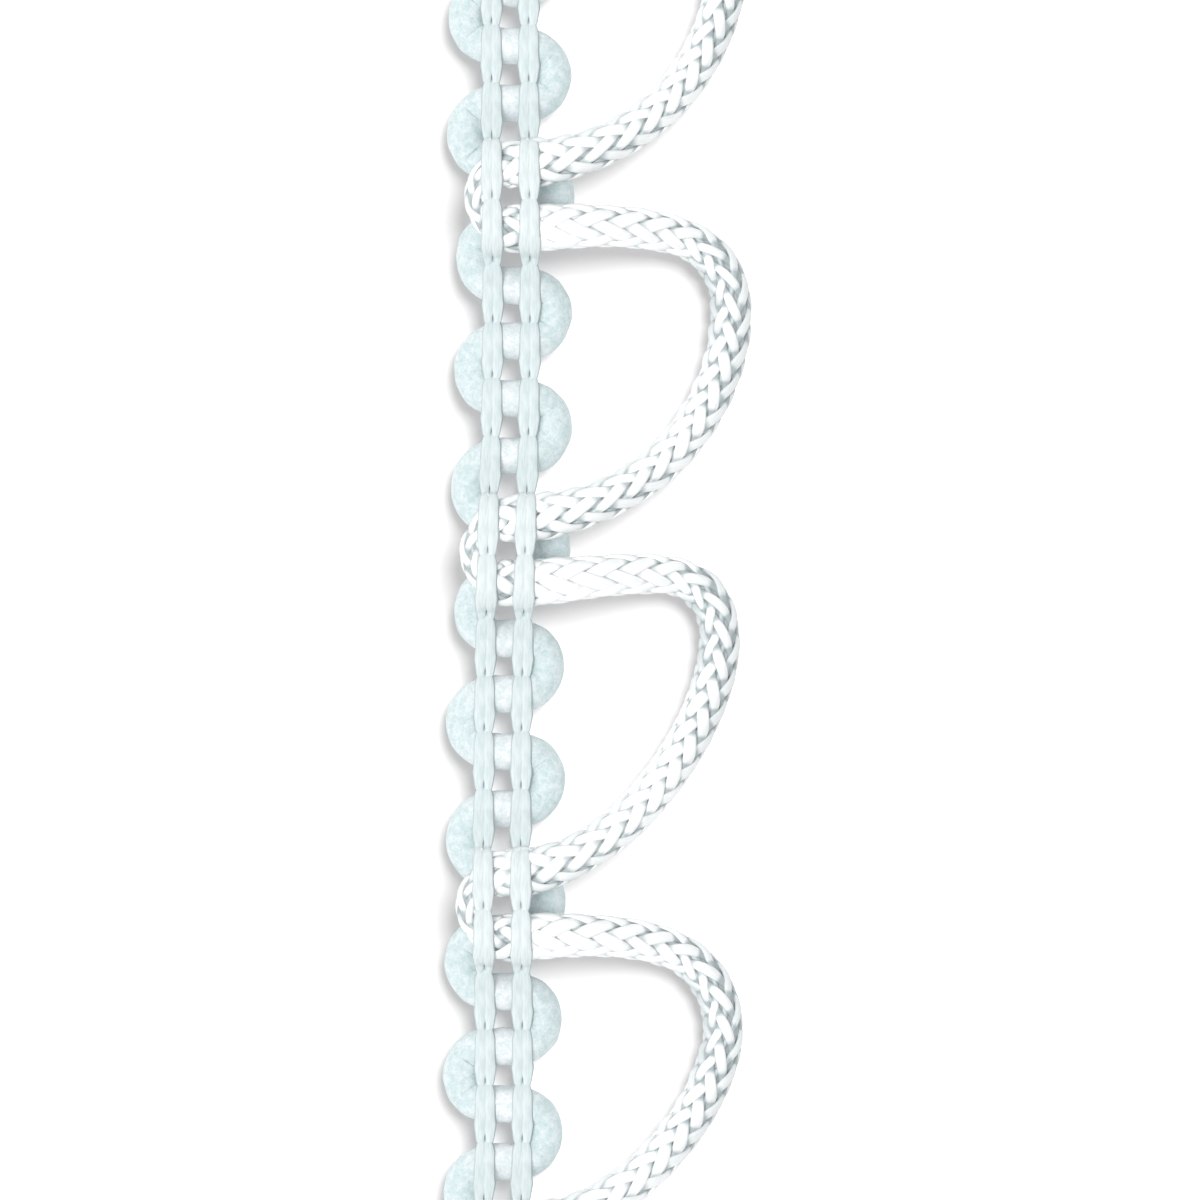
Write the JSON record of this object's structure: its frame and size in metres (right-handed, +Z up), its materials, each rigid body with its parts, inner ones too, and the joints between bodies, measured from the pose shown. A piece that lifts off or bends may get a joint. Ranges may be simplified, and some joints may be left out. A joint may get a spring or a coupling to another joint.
{
  "type": "button loop tape",
  "caption": "Narrow trimming of a zigzag soft cord and a braided cord, tied by two columns of chain stitch, with D-shaped button loops along one edge.",
  "frame": {"origin": "centre of the tape's footprint, on the surface it lies on", "axes": "+Y along the tape, +X towards the button loops, +Z up out of the tape's face"},
  "size_m": [0.0132, 0.0702, 0.004],
  "materials": {
    "soft_cord": "matt, soft, slightly hairy spun cord, icy white",
    "braided_cord": "bright filament braid, white, satin",
    "stitch_yarn": "fine clear filament yarn, translucent white"
  },
  "bodies": {
    "root": {"ground_cord": "soft_cord", "loop_cord": "braided_cord", "chain_left": "stitch_yarn", "chain_right": "stitch_yarn"}
  },
  "joints": []
}
